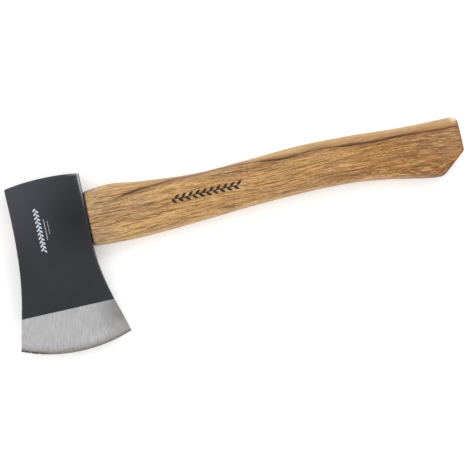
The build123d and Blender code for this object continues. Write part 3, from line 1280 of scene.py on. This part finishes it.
def makeGroundSteel():
    # brushed by the grinding, with long fine marks over broader ones
    tones = steelTones
    material, tree, shader = newMaterial("ground_steel", Metallic=0.85, Anisotropic=0.4)
    spot = fromHead(tree)
    reach, depth = splitAxes(tree, spot)[:2]
    marks = brushMarks(tree, spot, 2.4, 0.012)
    coarse = brushMarks(tree, spot, 0.35, 0.008, 2.0)
    clouds = noiseAt(tree, spot, (0.05, 0.05, 0.05), 3.0)
    colour = stain(tree, ramp(tree, marks, tones["ground"]), tones["coarse"], coarse, 0.5, 0.75, 0.2)
    colour = stain(tree, colour, tones["cloud"], clouds, 0.5, 0.72, 0.2)
    # painted shade darkens the steel beside the heel, and it is smoke-brown towards the edge
    steelShade = spotMask(tree, reach, depth, tones["steelShadeSpot"])
    steelShade = times(tree, steelShade, ranged(tree, clouds, 0.3, 0.65, 0.55, 0.9))
    colour = tint(tree, steelShade, colour, tones["steelShade"])
    heel = times(tree, ranged(tree, reach, 18.0, 42.0), ranged(tree, clouds, 0.3, 0.6, 0.5, 1.0), 0.6)
    colour = tint(tree, heel, colour, tones["heel"])
    smoke = ranged(tree, edgeDistance(tree, reach, depth), 7.0, 3.2, 0.0, 0.4)
    smoke = times(tree, smoke, ranged(tree, marks, 0.3, 0.6, 0.4, 1.0))
    colour = tint(tree, smoke, colour, tones["smoke"])
    wire(tree, shader, Base_Color=colour, Roughness=ranged(tree, marks, 0.3, 0.7, 0.38, 0.5))
    bump(tree, shader, marks, 0.00005, 0.8)
    return material


def makeHonedSteel():
    # the honed strip starts like the ground face and darkens towards the edge
    tones = steelTones
    material, tree, shader = newMaterial("honed_edge", Metallic=0.85)
    spot = fromHead(tree)
    reach, depth = splitAxes(tree, spot)[:2]
    marks = brushMarks(tree, spot, 1.1, 0.3)
    stains = noiseAt(tree, spot, (0.35, 0.5, 0.5), 4.0, 0.6)
    away = timesPlus(tree, minus(tree, stains, 0.5), 3.0, edgeDistance(tree, reach, depth))
    colour = stain(tree, ramp(tree, marks, tones["honed"]), tones["honedDark"], away, 3.4, 0.8, 0.75)
    colour = stain(tree, colour, tones["honedStain"], stains, 0.52, 0.66, 0.4)
    # the chipped toe is dark
    chips = times(
        tree, ranged(tree, away, 2.2, 0.9), ranged(tree, reach, -20.0, -32.0),
        ranged(tree, stains, 0.42, 0.52, 0.3, 0.95),
    )
    colour = tint(tree, chips, colour, tones["chip"])
    wire(tree, shader, Base_Color=colour, Roughness=ranged(tree, stains, 0.3, 0.7, 0.34, 0.5))
    bump(tree, shader, timesPlus(tree, stains, 0.5, marks), 0.0001, 0.8)
    return material


def makeInk(name, full, thin, wornFrom):
    # printed ink that thins out in small spots
    material, tree, shader = newMaterial(name, Roughness=0.6, Specular_IOR_Level=0.3)
    worn = noiseAt(tree, fromHead(tree), (1.1, 1.1, 1.1), 4.0, 0.65)
    wire(tree, shader, Base_Color=stain(tree, full, thin, worn, wornFrom, wornFrom + 0.14, 0.8))
    bump(tree, shader, worn, 0.00003, 0.5)
    return material


# ---- make the pieces


def paint(piece, material):
    # one material all over, in place of the empty slots that a cut leaves
    piece.data.materials.clear()
    piece.data.materials.append(material)
    return softShade(piece)


def makeHead():
    sheet, finishes = cheekSheet()
    split = finishes.index(ground)
    body = buildShell("axe_head_body", sheet[:split], finishes[:split])
    bit = buildShell("axe_head_bit", sheet[split - 1:], [ground] + finishes[split:])
    cutter = buildEyeCutter(handleTurns())
    cut(body, cutter)
    discard(cutter)
    markRims(body)
    for material in (makeGroundSteel(), makeHonedSteel()):
        bit.data.materials.append(material)
    return paint(body, makeLacquer()), softShade(bit, head["bitCrease"])


def makeHandleAndWedge():
    # the same slits go through both, a little wider than the steel wedges
    grip = buildHandle()
    wedge = buildWoodenWedge(handleTurns())
    kerf = woodTaper("kerf", wedges["clearance"])
    cut(grip, kerf)
    discard(kerf)
    for number, depth in enumerate(steelDepths(), start=1):
        slit = steelTaper(f"slit_{number}", depth, wedges["clearance"])
        cut(grip, slit)
        cut(wedge, slit)
        discard(slit)
    return paint(grip, makeHandleWood()), paint(wedge, makeWedgeWood())


def makeSteelWedge(number, depth, barbs, steel):
    # a rounded taper, with the ridges on its two faces in the same mesh
    sizes = wedges["steel"]
    wedge = steelTaper(f"steel_wedge_body_{number}", depth, lead=0.0)
    bevel = wedge.modifiers.new("bevel", "BEVEL")
    bevel.width = sizes["round"] * mm
    bevel.segments = sizes["roundSteps"]
    bakeModifiers(wedge)
    ridges = growFromTree(f"steel_wedge_barbs_{number}", barbs, {
        "Length": sizes["length"] * mm,
        "Mouth": sizes["mouth"] * mm,
        "Tip": sizes["tip"] * mm,
        "Width": (sizes["width"] - 2 * wedges["barbInset"]) * mm,
        "Barbs": wedges["barbs"],
        "Barb Height": wedges["barbHeight"] * mm,
        "Steel": steel,
    })
    layOut(ridges, lambda x, y, z: place(tongueEnd(depth) + x, depth + y, z))
    bm = bmesh.new()
    bm.from_mesh(wedge.data)
    bm.from_mesh(ridges.data)
    bm.to_mesh(wedge.data)
    bm.free()
    discard(ridges)
    return paint(wedge, steel)


axeHead, axeBit = makeHead()
print("head made")

grip, woodenWedge = makeHandleAndWedge()
print("handle made, and cut for its wedges")

barbs = barbTree()
wedgeSteel = makeWedgeSteel()
steelWedges = [
    makeSteelWedge(number, depth, barbs, wedgeSteel) for number, depth in enumerate(steelDepths(), start=1)
]
print("steel wedges made")

cheekPrint = {
    "length": 31.5, "leaves": 22, "leafLength": 3.1, "leafWidth": 1.25, "lean": 42, "stemWidth": 0.45,
    "reach": -8.9, "depth": 35.0,
    "dotWidth": 0.55,
    "dotRows": [(4.4, 15.0, 22, 1.0), (6.9, 9.0, 10, 0.0)],     # aside, length, dots and shift along
}
gripPrint = {
    "length": 50.0, "leaves": 20, "leafLength": 5.0, "leafWidth": 2.1, "lean": 38, "stemWidth": 0.7,
    "reach": 116.5, "depth": 35.4, "tilt": 0.3,
}


def growSprig(name, tree, sizes, ink):
    return growFromTree(name, tree, {
        "Length": sizes["length"] * mm, "Leaves": sizes["leaves"], "Leaf Length": sizes["leafLength"] * mm,
        "Leaf Width": sizes["leafWidth"] * mm, "Lean": math.radians(sizes["lean"]),
        "Stem Width": sizes["stemWidth"] * mm, "Thickness": printShape["film"] * mm, "Ink": ink,
    })


def onFilm(rise, z):
    # most of the film is sunk in the face under it, and the rest stands proud
    return rise + printShape["proud"] + z - printShape["film"] / 2


def onCheek(aside, shift):
    # where a flat pattern lies on the cheek, moved to one side and along
    def target(x, y, z):
        depth = cheekPrint["depth"] + shift + x
        return place(cheekPrint["reach"] + aside + y, depth, onFilm(cheekHalf(depth), z))

    return target


def gripRise(reach, depth):
    # how high the handle's oval is at a place, above the middle of the thickness
    back, belly = backAt(reach), bellyAt(reach)
    n = handleShape["roundness"]
    across = abs((2 * depth - back - belly) / (belly - back))
    return thicknessAt(reach) / 2 * (1 - across ** n) ** (1 / n)


def onGrip(x, y, z):
    tilt = math.radians(gripPrint["tilt"])
    reach = gripPrint["reach"] + x * math.cos(tilt) + y * math.sin(tilt)
    depth = gripPrint["depth"] + x * math.sin(tilt) - y * math.cos(tilt)
    return place(reach, depth, onFilm(gripRise(reach, depth), z))


sprig = sprigTree()
dots = dotRowTree()
whiteInk = makeInk("white_ink", srgb(196, 203, 212), srgb(112, 116, 124), 0.58)
darkInk = makeInk("dark_ink", srgb(36, 27, 20), srgb(112, 82, 52), 0.6)
cheekSprig = layOut(growSprig("cheek_sprig", sprig, cheekPrint, whiteInk), onCheek(0.0, 0.0))
cheekDots = []
for number, (aside, length, count, shift) in enumerate(cheekPrint["dotRows"], start=1):
    row = growFromTree(f"cheek_dots_{number}", dots, {
        "Length": length * mm, "Dots": count, "Dot Width": cheekPrint["dotWidth"] * mm,
        "Thickness": printShape["film"] * mm, "Ink": whiteInk,
    })
    cheekDots.append(layOut(row, onCheek(aside, shift)))
gripSprig = layOut(growSprig("grip_sprig", sprig, gripPrint, darkInk), onGrip)
print("prints laid on")

for piece, node, slotName in (
    (axeHead, "axe_head", "head_lacquer"),
    (axeBit, "axe_head", "ground_steel"),
    (grip, "handle", "handle_wood"),
    (woodenWedge, "wooden_wedge", "wedge_wood"),
    (steelWedges[0], "steel_wedge_1", "wedge_steel"),
    (steelWedges[1], "steel_wedge_2", "wedge_steel"),
    (cheekSprig, None, "cheek_print"),
    (cheekDots[0], None, "cheek_print"),
    (cheekDots[1], None, "cheek_print"),
    (gripSprig, None, "grip_print"),
):
    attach(piece, "root")
    if node:
        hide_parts(node)

# ---- floor, light and camera

studio = {
    "floorRadius": 6.0,
    "floorEdges": 96,
    "paper": [(0.3, srgb(250, 250, 250)), (0.7, srgb(253, 253, 253))],
    "surround": 1.0,
    "lights": [                 # name, place, width and strength
        ("key", (1.0, 1.0, 1.5), 0.8, 9.0),
        ("fill", (-0.9, 0.2, 1.9), 1.4, 2.0),
    ],
    "cameraReach": 131.95,      # what the camera stands over, from the head
    "cameraDepth": 71.3,
    "cameraHeight": 2.6,
    "cameraTurn": -12.8,
    "cameraSees": 100,
    "frameWidth": 0.3509,
    "sensor": 36.0,
}


def makeFloor():
    bm = bmesh.new()
    bmesh.ops.create_circle(bm, cap_ends=True, radius=studio["floorRadius"], segments=studio["floorEdges"])
    floor = finishMesh(bm, "studio_floor")
    material, tree, shader = newMaterial(
        "studio_paper", Roughness=0.9, Specular_IOR_Level=0.1, Emission_Color=(1, 1, 1, 1),
        Emission_Strength=0.2,
    )
    coordinates = addNode(tree, "ShaderNodeTexCoord").outputs["Object"]
    fleck = noiseAt(tree, coordinates, (3.0, 3.0, 3.0))
    wire(tree, shader, Base_Color=ramp(tree, fleck, studio["paper"]))
    floor.data.materials.append(material)


def addLight(name, spot, width, strength):
    # a round lamp that points at the middle of the floor
    light = bpy.data.lights.new(name, "AREA")
    light.shape = "DISK"
    light.size = width
    light.energy = strength
    lamp = bpy.data.objects.new(name, light)
    bpy.context.scene.collection.objects.link(lamp)
    lamp.location = spot
    lamp.rotation_euler = (-Vector(spot)).to_track_quat("-Z", "Y").to_euler()


def addCamera():
    # straight above the hatchet, and turned a little
    camera = bpy.data.objects.new("camera", bpy.data.cameras.new("camera"))
    bpy.context.scene.collection.objects.link(camera)
    spot = place(studio["cameraReach"], studio["cameraDepth"], 0)
    camera.location = (spot.x, spot.y, spot.z + studio["cameraHeight"])
    camera.rotation_euler = (0, 0, math.radians(studio["cameraTurn"]))
    camera.data.sensor_width = studio["sensor"]
    camera.data.lens = studio["sensor"] * studio["cameraHeight"] / studio["frameWidth"]
    camera.data.clip_end = studio["cameraSees"]
    bpy.context.scene.camera = camera


makeFloor()
world = bpy.data.worlds.new("studio")
world.use_nodes = True
background = world.node_tree.nodes["Background"]
background.inputs["Color"].default_value = (1, 1, 1, 1)
background.inputs["Strength"].default_value = studio["surround"]
bpy.context.scene.world = world
for values in studio["lights"]:
    addLight(*values)
addCamera()
bpy.context.scene.view_settings.view_transform = "Standard"

print("studio set up")
